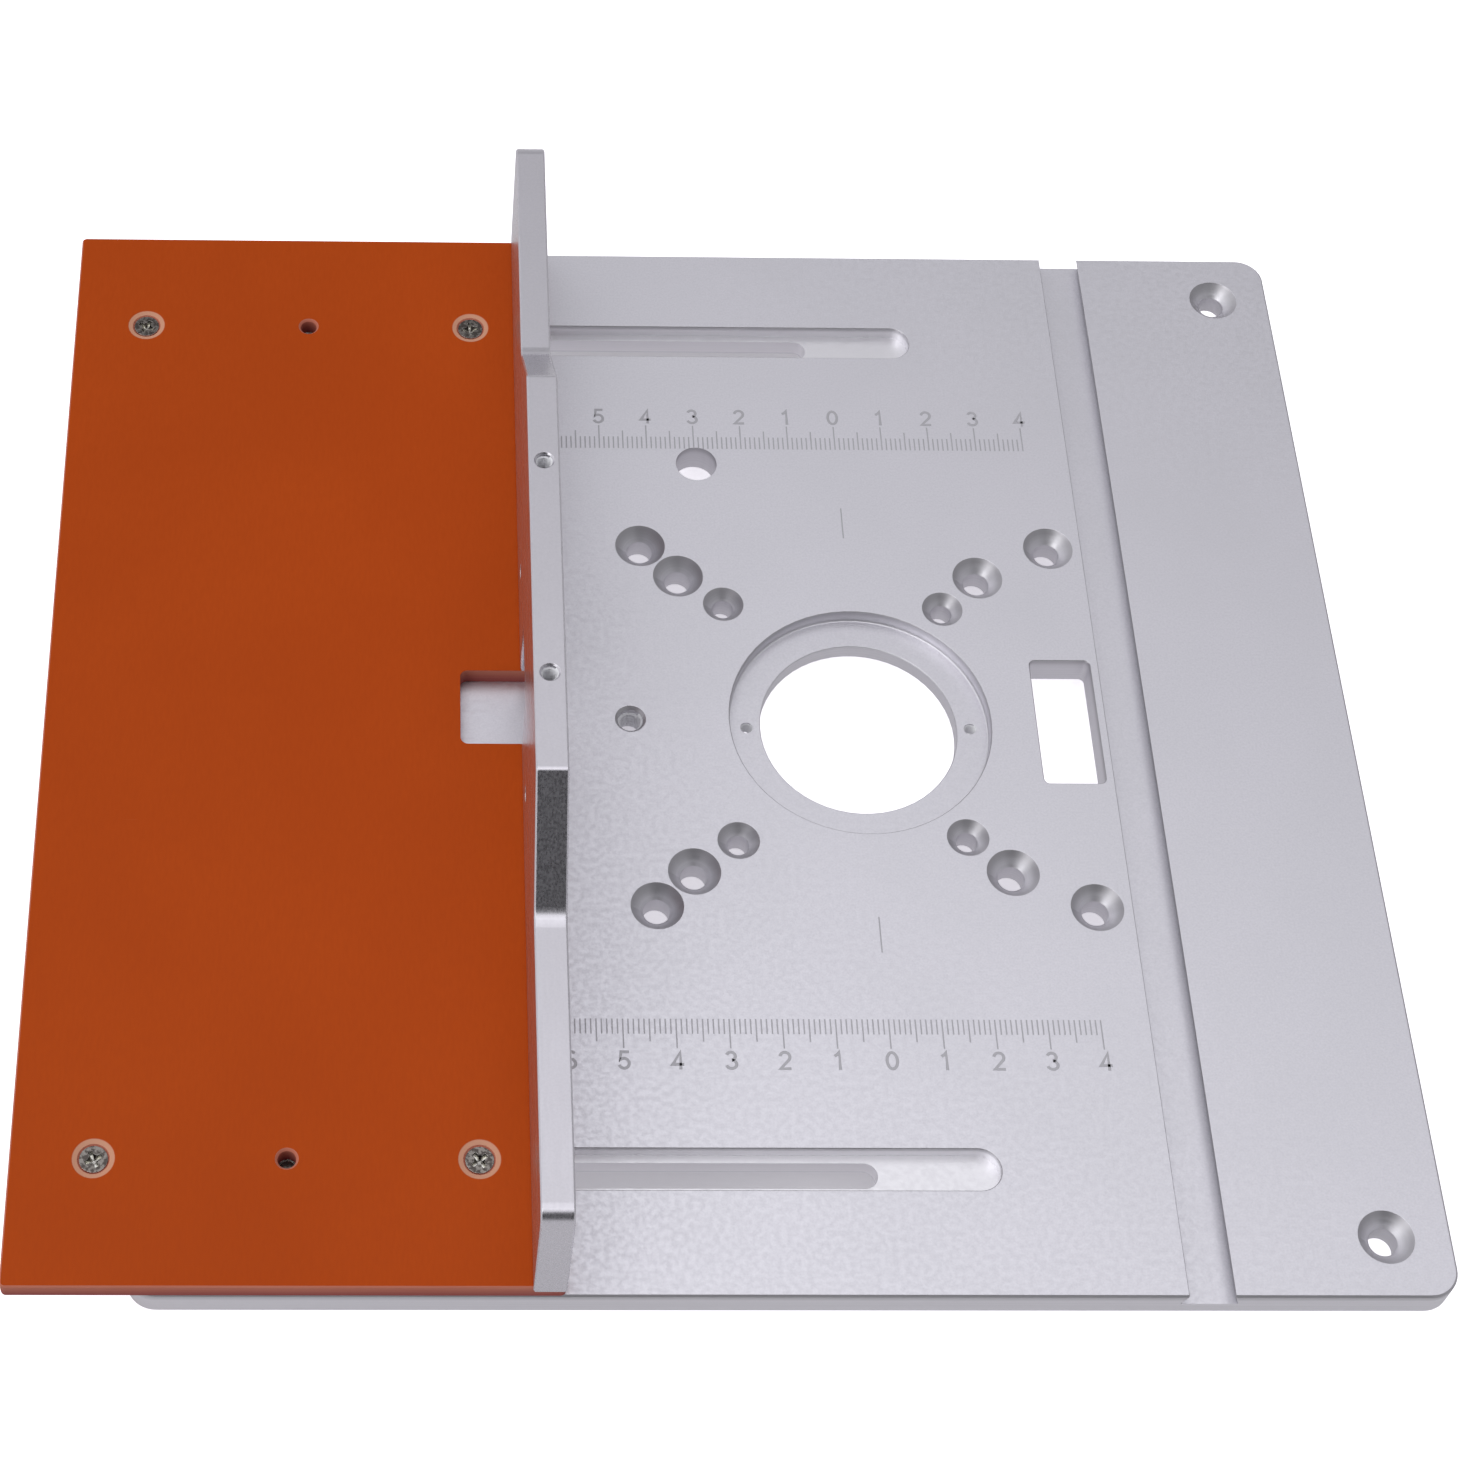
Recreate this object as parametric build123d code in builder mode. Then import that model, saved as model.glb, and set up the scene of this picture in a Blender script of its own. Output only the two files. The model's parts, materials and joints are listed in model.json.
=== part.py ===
from build123d import *
import os

# Router table: an aluminium plate with a fence that slides in two stepped slots.
# Millimetres. +X runs along the scales to the dovetail groove, +Y points away from the user, +Z up.
# The origin is where the router's axis meets the plate's top face.

# Plate outline
PLATE_LENGTH = 239.0
PLATE_WIDTH = 243.0
PLATE_THICKNESS = 6.8
PLATE_CENTRE_X = -21.0
PLATE_CORNER_RADIUS = 5.5
PLATE_EDGE_BREAK = 0.4
MOUTH_EDGE_BREAK = 0.15

# Collet hole and the recess for its reducing rings
COLLET_DIAMETER = 39.5
RING_RECESS_DIAMETER = 52.4
RING_RECESS_DEPTH = 3.2
RING_RECESS_FOOT_RADIUS = 0.4
RING_SCREW_RADIUS = 22.5

# Screw sizes: clearance hole, countersink mouth and tapping drill diameters
M5_CLEARANCE = 5.3
M5_MOUTH = 10.3
M4_CLEARANCE = 4.3
M4_MOUTH = 8.3
M3_CLEARANCE = 3.4
M6_TAPPING = 5.0
M4_TAPPING = 3.3
M3_TAPPING = 2.5
COUNTERSINK_ANGLE = 90
THREAD_GAP = 0.02
SCREW_CORE_M3 = 3.0
SCREW_CORE_M4 = 4.0

# Screw patterns on the plate
CORNER_INSET_X = 11.9
CORNER_INSET_Y = 11.5
BASE_OUTER_SPACING = 84.85
BASE_MIDDLE_LEFT_X = -34.9
BASE_MIDDLE_RIGHT_X = 26.95
BASE_MIDDLE_SPACING_Y = 69.7
BASE_SMALL_LEFT_X = -25.95
BASE_SMALL_RIGHT_X = 18.95
BASE_SMALL_LEFT_SPACING_Y = 55.8
BASE_SMALL_RIGHT_SPACING_Y = 54.0

# Single holes and the window in the plate
STARTER_PIN_X = -46.0
STARTER_PIN_MOUTH = 6.2
WRENCH_HOLE_DIAMETER = 8.6
WRENCH_HOLE_X = -29.7
WRENCH_HOLE_Y = 63.8
WINDOW_LENGTH = 29.0
WINDOW_LEFT_X = 35.4
WINDOW_RIGHT_X = 47.7
WINDOW_CORNER_RADIUS = 1.2

# Dovetail groove for a mitre gauge
GROOVE_CENTRE_X = 53.5
GROOVE_MOUTH = 8.2
GROOVE_FLOOR = 10.4
GROOVE_DEPTH = 3.2

# Stepped slots for the fence's guide bars, open at the plate's left edge
SLOT_ROW_Y = 97.0
SLOT_WIDTH = 8.2
SLOT_DEPTH = 3.0
SLOT_END_X = 18.2
STUD_SLOT_WIDTH = 5.0
STUD_SLOT_END_X = -4.1

# Sliding board, which glides a hair above the plate
SLIDE_GAP = 0.05
BOARD_LENGTH = 100.0
BOARD_THICKNESS = 4.0
BOARD_RIGHT_X = -62.0
BOARD_CORNER_RADIUS = 1.0
BOARD_EDGE_BREAK = 0.3
BOARD_NOTCH_DEPTH = 18.0
BIT_OPENING_WIDTH = 17.2
NOTCH_CORNER_RADIUS = 1.5
SPOTFACE_DIAMETER = 8.0
SPOTFACE_DEPTH = 0.4
MIDDLE_HOLE_MOUTH = 4.3

# Upright fence plate with a raised middle
FENCE_LENGTH = 244.6
FENCE_THICKNESS = 6.0
FENCE_END_Z = 35.0
FENCE_TOP_Z = 53.3
FENCE_SHOULDER_TOP_Y = 44.5
FENCE_SHOULDER_FOOT_Y = 64.5
FENCE_END_RADIUS = 3.3
FENCE_SHOULDER_TOP_RADIUS = 1.2
FENCE_SHOULDER_FOOT_RADIUS = 5.0
FENCE_EDGE_BREAK = 0.3
BIT_OPENING_TOP_Z = 20.5
BIT_OPENING_RADIUS = 2.0
TOP_HOLE_SPACING = 48.0
TOP_HOLE_DEPTH = 12.0
TOP_HOLE_MOUTH = 3.9
BACK_HOLE_SPACING = 52.0
BACK_HOLE_Z = 14.0
BACK_HOLE_DEPTH = 4.0

# Guide bars under the board
BAR_WIDTH = 8.0
BAR_THICKNESS = 2.8
BAR_SCREW_SPACING = 69.6

# Countersunk screws, M3 with a cross recess
SCREW_HEAD_DIAMETER = 5.2
SCREW_SEAT_DIAMETER = 5.5
SCREW_RIM = 0.2
SCREW_POINT = 0.4
BAR_SCREW_LENGTH = 6.0
FOOT_SCREW_LENGTH = 8.0
FOOT_SCREW_SPACING = 42.0
FOOT_SCREWS_PER_HALF = 3
FOOT_SCREW_FIRST_Y = 28.0
FOOT_HEAD_SETBACK = 0.15
FOOT_THREAD_DEPTH = 6.0
RECESS_SPAN = 3.3
RECESS_BLADE = 0.85
RECESS_DEPTH = 1.2
RECESS_TAPER = 14
RECESS_CORE_MOUTH = 2.0
RECESS_CORE_FOOT = 0.6
RECESS_CORE_DEPTH = 1.4
RECESS_TURNS = (25, 62, 38, 8)

# Lock under each slot: stud, washer and knob with a brass bush
STUD_TOP_Z = -0.3
STUD_LENGTH = 18.0
STUD_POINT = 0.5
STUD_SOCKET_ACROSS_FLATS = 2.0
STUD_SOCKET_DEPTH = 2.0
WASHER_DIAMETER = 12.0
WASHER_BORE = 4.3
WASHER_THICKNESS = 1.0
BUSH_DIAMETER = 7.0
BUSH_BORE = 4.1
BUSH_LENGTH = 9.0
KNOB_DIAMETER = 18.0
KNOB_SCOOPS = 6
KNOB_SCOOP_RADIUS = 3.2
KNOB_SCOOP_DEPTH = 1.7
KNOB_LOBE_RADIUS = 1.2
KNOB_EDGE_RADIUS = 0.8
KNOB_HEAD_HEIGHT = 9.0
KNOB_BOSS_DIAMETER = 10.0
KNOB_BOSS_HEIGHT = 2.0

# Places that follow from the sizes above
PLATE_LEFT_X = PLATE_CENTRE_X - PLATE_LENGTH / 2
CORNER_SPACING_X = PLATE_LENGTH - 2 * CORNER_INSET_X
CORNER_SPACING_Y = PLATE_WIDTH - 2 * CORNER_INSET_Y
BOARD_CENTRE_X = BOARD_RIGHT_X - BOARD_LENGTH / 2
BOARD_TOP_Z = SLIDE_GAP + BOARD_THICKNESS
FENCE_CENTRE_X = BOARD_RIGHT_X - FENCE_THICKNESS / 2
BAR_SCREW_X = (BOARD_CENTRE_X - BAR_SCREW_SPACING / 2, BOARD_CENTRE_X + BAR_SCREW_SPACING / 2)
BAR_SCREW_PLACES = [(x, y) for x in BAR_SCREW_X for y in (-SLOT_ROW_Y, SLOT_ROW_Y)]
FOOT_SCREW_ROW = [FOOT_SCREW_FIRST_Y + i * FOOT_SCREW_SPACING for i in range(FOOT_SCREWS_PER_HALF)]
FOOT_SCREW_PLACES = [(FENCE_CENTRE_X, side * y) for y in FOOT_SCREW_ROW for side in (-1, 1)]
WASHER_TOP_Z = -PLATE_THICKNESS
KNOB_TOP_Z = WASHER_TOP_Z - WASHER_THICKNESS

# The turn that makes a hole point upwards, and how far apart two equal heights may read
UPWARD = (180, 0, 0)
HEIGHT_TOLERANCE = 0.001

os.makedirs("parts", exist_ok=True)


def open_slot(end_x, width):
    """Outline of both rows' slots, from beyond the plate's left edge to a round end at end_x."""
    length = end_x - PLATE_LEFT_X + width
    with Locations(*[(end_x - length / 2, y) for y in (-SLOT_ROW_Y, SLOT_ROW_Y)]):
        SlotOverall(length, width)


def outline_corners(outline, height):
    """An upright outline's corners at one height, the innermost pair first."""
    level = outline.vertices().filter_by(lambda corner: abs(corner.Y - height) < HEIGHT_TOLERANCE)
    return level.sort_by(lambda corner: abs(corner.X))


def countersunk_screw(length):
    """An M3 countersunk screw with its head's top at z = 0 and its point downwards."""
    head = SCREW_HEAD_DIAMETER / 2
    core = SCREW_CORE_M3 / 2 - THREAD_GAP
    cone_foot = -SCREW_RIM - (head - core)
    with BuildPart() as screw:
        with BuildSketch(Plane.XZ):
            with BuildLine():
                Polyline(
                    (0, 0),
                    (head, 0),
                    (head, -SCREW_RIM),
                    (core, cone_foot),
                    (core, -length + SCREW_POINT),
                    (core - SCREW_POINT, -length),
                    (0, -length),
                    close=True,
                )
            make_face()
        revolve(axis=Axis.Z)
        with BuildSketch():
            Rectangle(RECESS_SPAN, RECESS_BLADE)
            Rectangle(RECESS_BLADE, RECESS_SPAN)
        extrude(amount=-RECESS_DEPTH, taper=RECESS_TAPER, mode=Mode.SUBTRACT)
        Cone(
            RECESS_CORE_FOOT / 2,
            RECESS_CORE_MOUTH / 2,
            RECESS_CORE_DEPTH,
            align=(Align.CENTER, Align.CENTER, Align.MAX),
            mode=Mode.SUBTRACT,
        )
    return screw.part


# ---- Plate ----
with BuildPart() as insert_plate:
    with BuildSketch(Plane.XY.offset(-PLATE_THICKNESS)):
        with Locations((PLATE_CENTRE_X, 0)):
            RectangleRounded(PLATE_LENGTH, PLATE_WIDTH, PLATE_CORNER_RADIUS)
    extrude(amount=PLATE_THICKNESS)
    chamfer(insert_plate.faces().sort_by(Axis.Z)[-1].edges(), PLATE_EDGE_BREAK)
    chamfer(insert_plate.faces().sort_by(Axis.Z)[0].edges(), PLATE_EDGE_BREAK)

    # Collet hole, ring recess and the two tapped holes in its ledge
    Hole(RING_RECESS_DIAMETER / 2, depth=RING_RECESS_DEPTH)
    recess_edges = insert_plate.edges(Select.LAST).group_by(Axis.Z)
    chamfer(recess_edges[-1], MOUTH_EDGE_BREAK)
    fillet(recess_edges[0], RING_RECESS_FOOT_RADIUS)
    Hole(COLLET_DIAMETER / 2)
    chamfer(insert_plate.edges(Select.LAST).group_by(Axis.Z)[-1], MOUTH_EDGE_BREAK)
    with Locations((-RING_SCREW_RADIUS, 0, -RING_RECESS_DEPTH), (RING_SCREW_RADIUS, 0, -RING_RECESS_DEPTH)):
        Hole(M3_TAPPING / 2)

    # Countersunk M5 holes: bench screws in the corners and two router-base patterns
    with Locations((PLATE_CENTRE_X, 0)):
        with GridLocations(CORNER_SPACING_X, CORNER_SPACING_Y, 2, 2):
            CounterSinkHole(M5_CLEARANCE / 2, M5_MOUTH / 2, counter_sink_angle=COUNTERSINK_ANGLE)
    with GridLocations(BASE_OUTER_SPACING, BASE_OUTER_SPACING, 2, 2):
        CounterSinkHole(M5_CLEARANCE / 2, M5_MOUTH / 2, counter_sink_angle=COUNTERSINK_ANGLE)
    with Locations((BASE_MIDDLE_LEFT_X, 0), (BASE_MIDDLE_RIGHT_X, 0)):
        with GridLocations(0, BASE_MIDDLE_SPACING_Y, 1, 2):
            CounterSinkHole(M5_CLEARANCE / 2, M5_MOUTH / 2, counter_sink_angle=COUNTERSINK_ANGLE)

    # Countersunk M4 holes of the smallest router base, whose two pairs differ a little in spacing
    for pair_x, spacing in (
        (BASE_SMALL_LEFT_X, BASE_SMALL_LEFT_SPACING_Y),
        (BASE_SMALL_RIGHT_X, BASE_SMALL_RIGHT_SPACING_Y),
    ):
        with Locations((pair_x, 0)):
            with GridLocations(0, spacing, 1, 2):
                CounterSinkHole(M4_CLEARANCE / 2, M4_MOUTH / 2, counter_sink_angle=COUNTERSINK_ANGLE)

    # Starter-pin thread and the plain hole for the height wrench
    with Locations((STARTER_PIN_X, 0)):
        CounterSinkHole(M6_TAPPING / 2, STARTER_PIN_MOUTH / 2, counter_sink_angle=COUNTERSINK_ANGLE)
    with Locations((WRENCH_HOLE_X, WRENCH_HOLE_Y)):
        Hole(WRENCH_HOLE_DIAMETER / 2)

    # Window beside the collet hole
    with BuildSketch():
        with Locations(((WINDOW_LEFT_X + WINDOW_RIGHT_X) / 2, 0)):
            RectangleRounded(WINDOW_RIGHT_X - WINDOW_LEFT_X, WINDOW_LENGTH, WINDOW_CORNER_RADIUS)
    extrude(amount=-PLATE_THICKNESS, mode=Mode.SUBTRACT)
    chamfer(insert_plate.edges(Select.LAST).group_by(Axis.Z)[-1], MOUTH_EDGE_BREAK)

    # Wide upper slots for the guide bars, then the narrow through slots for the lock studs
    with BuildSketch():
        open_slot(SLOT_END_X, SLOT_WIDTH)
    extrude(amount=-SLOT_DEPTH, mode=Mode.SUBTRACT)
    slot_mouths = insert_plate.edges(Select.LAST).group_by(Axis.Z)[-1].filter_by(Axis.Y, reverse=True)
    chamfer(slot_mouths, MOUTH_EDGE_BREAK)
    with BuildSketch():
        open_slot(STUD_SLOT_END_X, STUD_SLOT_WIDTH)
    extrude(amount=-PLATE_THICKNESS, mode=Mode.SUBTRACT)

    # Dovetail groove along the plate's whole width
    with BuildSketch(Plane.XZ):
        with BuildLine():
            Polyline(
                (GROOVE_CENTRE_X - GROOVE_MOUTH / 2, 0),
                (GROOVE_CENTRE_X + GROOVE_MOUTH / 2, 0),
                (GROOVE_CENTRE_X + GROOVE_FLOOR / 2, -GROOVE_DEPTH),
                (GROOVE_CENTRE_X - GROOVE_FLOOR / 2, -GROOVE_DEPTH),
                close=True,
            )
        make_face()
    extrude(amount=PLATE_WIDTH, both=True, mode=Mode.SUBTRACT)
    groove_mouth = insert_plate.edges(Select.LAST).group_by(Axis.Z)[-1].filter_by(Axis.Y)
    chamfer(groove_mouth, MOUTH_EDGE_BREAK)
insert_plate.part.label = "insert_plate"
export_step(insert_plate.part, "parts/insert_plate.step")

# ---- Sliding board ----
with BuildPart() as fence_board:
    with BuildSketch(Plane.XY.offset(SLIDE_GAP)):
        with Locations((BOARD_CENTRE_X, 0)):
            RectangleRounded(BOARD_LENGTH, PLATE_WIDTH, BOARD_CORNER_RADIUS)
    extrude(amount=BOARD_THICKNESS)
    chamfer(fence_board.faces().sort_by(Axis.Z)[-1].edges(), BOARD_EDGE_BREAK)
    chamfer(fence_board.faces().sort_by(Axis.Z)[0].edges(), BOARD_EDGE_BREAK)

    # Notch for the bit, open to the right under the fence
    with BuildSketch(Plane.XY.offset(SLIDE_GAP)) as notch:
        with Locations((BOARD_RIGHT_X, 0)):
            Rectangle(2 * BOARD_NOTCH_DEPTH, BIT_OPENING_WIDTH)
        fillet(notch.vertices().group_by(Axis.X)[0], NOTCH_CORNER_RADIUS)
    extrude(amount=BOARD_THICKNESS, mode=Mode.SUBTRACT)

    # Screw holes over the guide bars: a shallow spot face, then the countersink
    with Locations(*[(x, y, BOARD_TOP_Z - SPOTFACE_DEPTH) for x, y in BAR_SCREW_PLACES]):
        Cone(
            SCREW_SEAT_DIAMETER / 2,
            SPOTFACE_DIAMETER / 2,
            SPOTFACE_DEPTH,
            align=(Align.CENTER, Align.CENTER, Align.MIN),
            mode=Mode.SUBTRACT,
        )
        CounterSinkHole(
            M3_CLEARANCE / 2,
            SCREW_SEAT_DIAMETER / 2 + SCREW_RIM,
            counter_sink_angle=COUNTERSINK_ANGLE,
        )

    # A plain chamfered hole over the middle of each bar
    with Locations((BOARD_CENTRE_X, -SLOT_ROW_Y, BOARD_TOP_Z), (BOARD_CENTRE_X, SLOT_ROW_Y, BOARD_TOP_Z)):
        CounterSinkHole(M3_CLEARANCE / 2, MIDDLE_HOLE_MOUTH / 2, counter_sink_angle=COUNTERSINK_ANGLE)

    # Holes for the fence's foot screws, countersunk from below
    with Locations(*[Location((x, y, SLIDE_GAP), UPWARD) for x, y in FOOT_SCREW_PLACES]):
        CounterSinkHole(
            M3_CLEARANCE / 2,
            SCREW_SEAT_DIAMETER / 2 + FOOT_HEAD_SETBACK + SCREW_RIM,
            counter_sink_angle=COUNTERSINK_ANGLE,
        )
fence_board.part.label = "fence_board"
export_step(fence_board.part, "parts/fence_board.step")

# ---- Upright fence plate ----
with BuildPart() as fence_upright:
    with BuildSketch(Plane.YZ.offset(BOARD_RIGHT_X - FENCE_THICKNESS)) as fence_outline:
        with BuildLine():
            Polyline(
                (-FENCE_LENGTH / 2, BOARD_TOP_Z),
                (-FENCE_LENGTH / 2, FENCE_END_Z),
                (-FENCE_SHOULDER_FOOT_Y, FENCE_END_Z),
                (-FENCE_SHOULDER_TOP_Y, FENCE_TOP_Z),
                (FENCE_SHOULDER_TOP_Y, FENCE_TOP_Z),
                (FENCE_SHOULDER_FOOT_Y, FENCE_END_Z),
                (FENCE_LENGTH / 2, FENCE_END_Z),
                (FENCE_LENGTH / 2, BOARD_TOP_Z),
                (BIT_OPENING_WIDTH / 2, BOARD_TOP_Z),
                (BIT_OPENING_WIDTH / 2, BIT_OPENING_TOP_Z),
                (-BIT_OPENING_WIDTH / 2, BIT_OPENING_TOP_Z),
                (-BIT_OPENING_WIDTH / 2, BOARD_TOP_Z),
                close=True,
            )
        make_face()
        fillet(outline_corners(fence_outline, BIT_OPENING_TOP_Z), BIT_OPENING_RADIUS)
        fillet(outline_corners(fence_outline, FENCE_TOP_Z), FENCE_SHOULDER_TOP_RADIUS)
        fillet(outline_corners(fence_outline, FENCE_END_Z)[:2], FENCE_SHOULDER_FOOT_RADIUS)
        fillet(outline_corners(fence_outline, FENCE_END_Z)[-2:], FENCE_END_RADIUS)
    extrude(amount=FENCE_THICKNESS)
    chamfer(fence_upright.faces().sort_by(Axis.X)[0].edges(), FENCE_EDGE_BREAK)
    chamfer(fence_upright.faces().sort_by(Axis.X)[-1].edges(), FENCE_EDGE_BREAK)

    # Tapped holes in the raised top, in the back face and in the foot
    with Locations((FENCE_CENTRE_X, 0, FENCE_TOP_Z)):
        with GridLocations(0, TOP_HOLE_SPACING, 1, 2):
            CounterSinkHole(
                M4_TAPPING / 2,
                TOP_HOLE_MOUTH / 2,
                depth=TOP_HOLE_DEPTH,
                counter_sink_angle=COUNTERSINK_ANGLE,
            )
    with Locations(Location((BOARD_RIGHT_X - FENCE_THICKNESS, 0, BACK_HOLE_Z), (0, -90, 0))):
        with GridLocations(0, BACK_HOLE_SPACING, 1, 2):
            Hole(M4_TAPPING / 2, depth=BACK_HOLE_DEPTH)
    with Locations(*[Location((x, y, BOARD_TOP_Z), UPWARD) for x, y in FOOT_SCREW_PLACES]):
        Hole(SCREW_CORE_M3 / 2, depth=FOOT_THREAD_DEPTH)
fence_upright.part.label = "fence_upright"
export_step(fence_upright.part, "parts/fence_upright.step")

# ---- Guide bars, one in each slot ----
with BuildPart() as guide_bar_far:
    with BuildSketch(Plane.XY.offset(SLIDE_GAP - BAR_THICKNESS)):
        with Locations((BOARD_CENTRE_X, SLOT_ROW_Y)):
            SlotOverall(BOARD_LENGTH, BAR_WIDTH)
    extrude(amount=BAR_THICKNESS)
    with Locations((BOARD_CENTRE_X, SLOT_ROW_Y)):
        with GridLocations(BAR_SCREW_SPACING, 0, 2, 1):
            Hole(SCREW_CORE_M3 / 2)
        Hole(SCREW_CORE_M4 / 2 + THREAD_GAP)
guide_bar_far.part.label = "guide_bar_far"
export_step(guide_bar_far.part, "parts/guide_bar_far.step")

with BuildPart() as guide_bar_near:
    mirror(guide_bar_far.part, about=Plane.XZ)
guide_bar_near.part.label = "guide_bar_near"
export_step(guide_bar_near.part, "parts/guide_bar_near.step")

# ---- Screws through the board into the bars, each left at its own turn ----
bar_screw = countersunk_screw(BAR_SCREW_LENGTH)
with BuildPart() as guide_bar_screws:
    for (screw_x, screw_y), turn in zip(BAR_SCREW_PLACES, RECESS_TURNS):
        with Locations(Location((screw_x, screw_y, BOARD_TOP_Z - SPOTFACE_DEPTH), (0, 0, turn))):
            add(bar_screw)
guide_bar_screws.part.label = "guide_bar_screws"
export_step(guide_bar_screws.part, "parts/guide_bar_screws.step")

# ---- Screws through the board into the fence's foot, from below ----
foot_screw = countersunk_screw(FOOT_SCREW_LENGTH)
with BuildPart() as fence_foot_screws:
    foot_head_z = SLIDE_GAP + FOOT_HEAD_SETBACK
    with Locations(*[Location((x, y, foot_head_z), UPWARD) for x, y in FOOT_SCREW_PLACES]):
        add(foot_screw)
fence_foot_screws.part.label = "fence_foot_screws"
export_step(fence_foot_screws.part, "parts/fence_foot_screws.step")

# ---- Lock studs, screwed into the bars and hanging through the slots ----
with BuildPart() as lock_stud_far:
    with BuildSketch(Plane.XY.offset(STUD_TOP_Z - STUD_LENGTH)):
        with Locations((BOARD_CENTRE_X, SLOT_ROW_Y)):
            Circle(SCREW_CORE_M4 / 2)
    extrude(amount=STUD_LENGTH)
    chamfer(lock_stud_far.edges().filter_by(GeomType.CIRCLE), STUD_POINT)
    with BuildSketch(Plane.XY.offset(STUD_TOP_Z - STUD_LENGTH)):
        with Locations((BOARD_CENTRE_X, SLOT_ROW_Y)):
            RegularPolygon(STUD_SOCKET_ACROSS_FLATS / 2, side_count=6, major_radius=False)
    extrude(amount=STUD_SOCKET_DEPTH, mode=Mode.SUBTRACT)
lock_stud_far.part.label = "lock_stud_far"
export_step(lock_stud_far.part, "parts/lock_stud_far.step")

with BuildPart() as lock_stud_near:
    mirror(lock_stud_far.part, about=Plane.XZ)
lock_stud_near.part.label = "lock_stud_near"
export_step(lock_stud_near.part, "parts/lock_stud_near.step")

# ---- Washers against the plate's underside ----
with BuildPart() as lock_washer_far:
    with BuildSketch(Plane.XY.offset(WASHER_TOP_Z - WASHER_THICKNESS)):
        with Locations((BOARD_CENTRE_X, SLOT_ROW_Y)):
            Circle(WASHER_DIAMETER / 2)
            Circle(WASHER_BORE / 2, mode=Mode.SUBTRACT)
    extrude(amount=WASHER_THICKNESS)
lock_washer_far.part.label = "lock_washer_far"
export_step(lock_washer_far.part, "parts/lock_washer_far.step")

with BuildPart() as lock_washer_near:
    mirror(lock_washer_far.part, about=Plane.XZ)
lock_washer_near.part.label = "lock_washer_near"
export_step(lock_washer_near.part, "parts/lock_washer_near.step")

# ---- Brass bushes moulded into the knobs ----
with BuildPart() as knob_bush_far:
    with BuildSketch(Plane.XY.offset(KNOB_TOP_Z - BUSH_LENGTH)):
        with Locations((BOARD_CENTRE_X, SLOT_ROW_Y)):
            Circle(BUSH_DIAMETER / 2)
            Circle(BUSH_BORE / 2, mode=Mode.SUBTRACT)
    extrude(amount=BUSH_LENGTH)
knob_bush_far.part.label = "knob_bush_far"
export_step(knob_bush_far.part, "parts/knob_bush_far.step")

with BuildPart() as knob_bush_near:
    mirror(knob_bush_far.part, about=Plane.XZ)
knob_bush_near.part.label = "knob_bush_near"
export_step(knob_bush_near.part, "parts/knob_bush_near.step")

# ---- Lobed knobs with a boss that bears on the washer ----
with BuildPart() as lock_knob_far:
    with BuildSketch(Plane.XY.offset(KNOB_TOP_Z - KNOB_BOSS_HEIGHT)) as star:
        with Locations((BOARD_CENTRE_X, SLOT_ROW_Y)):
            Circle(KNOB_DIAMETER / 2)
            with PolarLocations(KNOB_DIAMETER / 2 - KNOB_SCOOP_DEPTH + KNOB_SCOOP_RADIUS, KNOB_SCOOPS):
                Circle(KNOB_SCOOP_RADIUS, mode=Mode.SUBTRACT)
        fillet(star.vertices(), KNOB_LOBE_RADIUS)
    extrude(amount=-KNOB_HEAD_HEIGHT)
    fillet(lock_knob_far.faces().sort_by(Axis.Z)[0].edges(), KNOB_EDGE_RADIUS)
    fillet(lock_knob_far.faces().sort_by(Axis.Z)[-1].edges(), KNOB_EDGE_RADIUS)
    with BuildSketch(Plane.XY.offset(KNOB_TOP_Z)):
        with Locations((BOARD_CENTRE_X, SLOT_ROW_Y)):
            Circle(KNOB_BOSS_DIAMETER / 2)
    extrude(amount=-KNOB_BOSS_HEIGHT)
    with Locations((BOARD_CENTRE_X, SLOT_ROW_Y, KNOB_TOP_Z)):
        Hole(BUSH_DIAMETER / 2, depth=BUSH_LENGTH)
        Hole(BUSH_BORE / 2)
lock_knob_far.part.label = "lock_knob_far"
export_step(lock_knob_far.part, "parts/lock_knob_far.step")

with BuildPart() as lock_knob_near:
    mirror(lock_knob_far.part, about=Plane.XZ)
lock_knob_near.part.label = "lock_knob_near"
export_step(lock_knob_near.part, "parts/lock_knob_near.step")
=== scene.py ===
import json
import math

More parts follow.
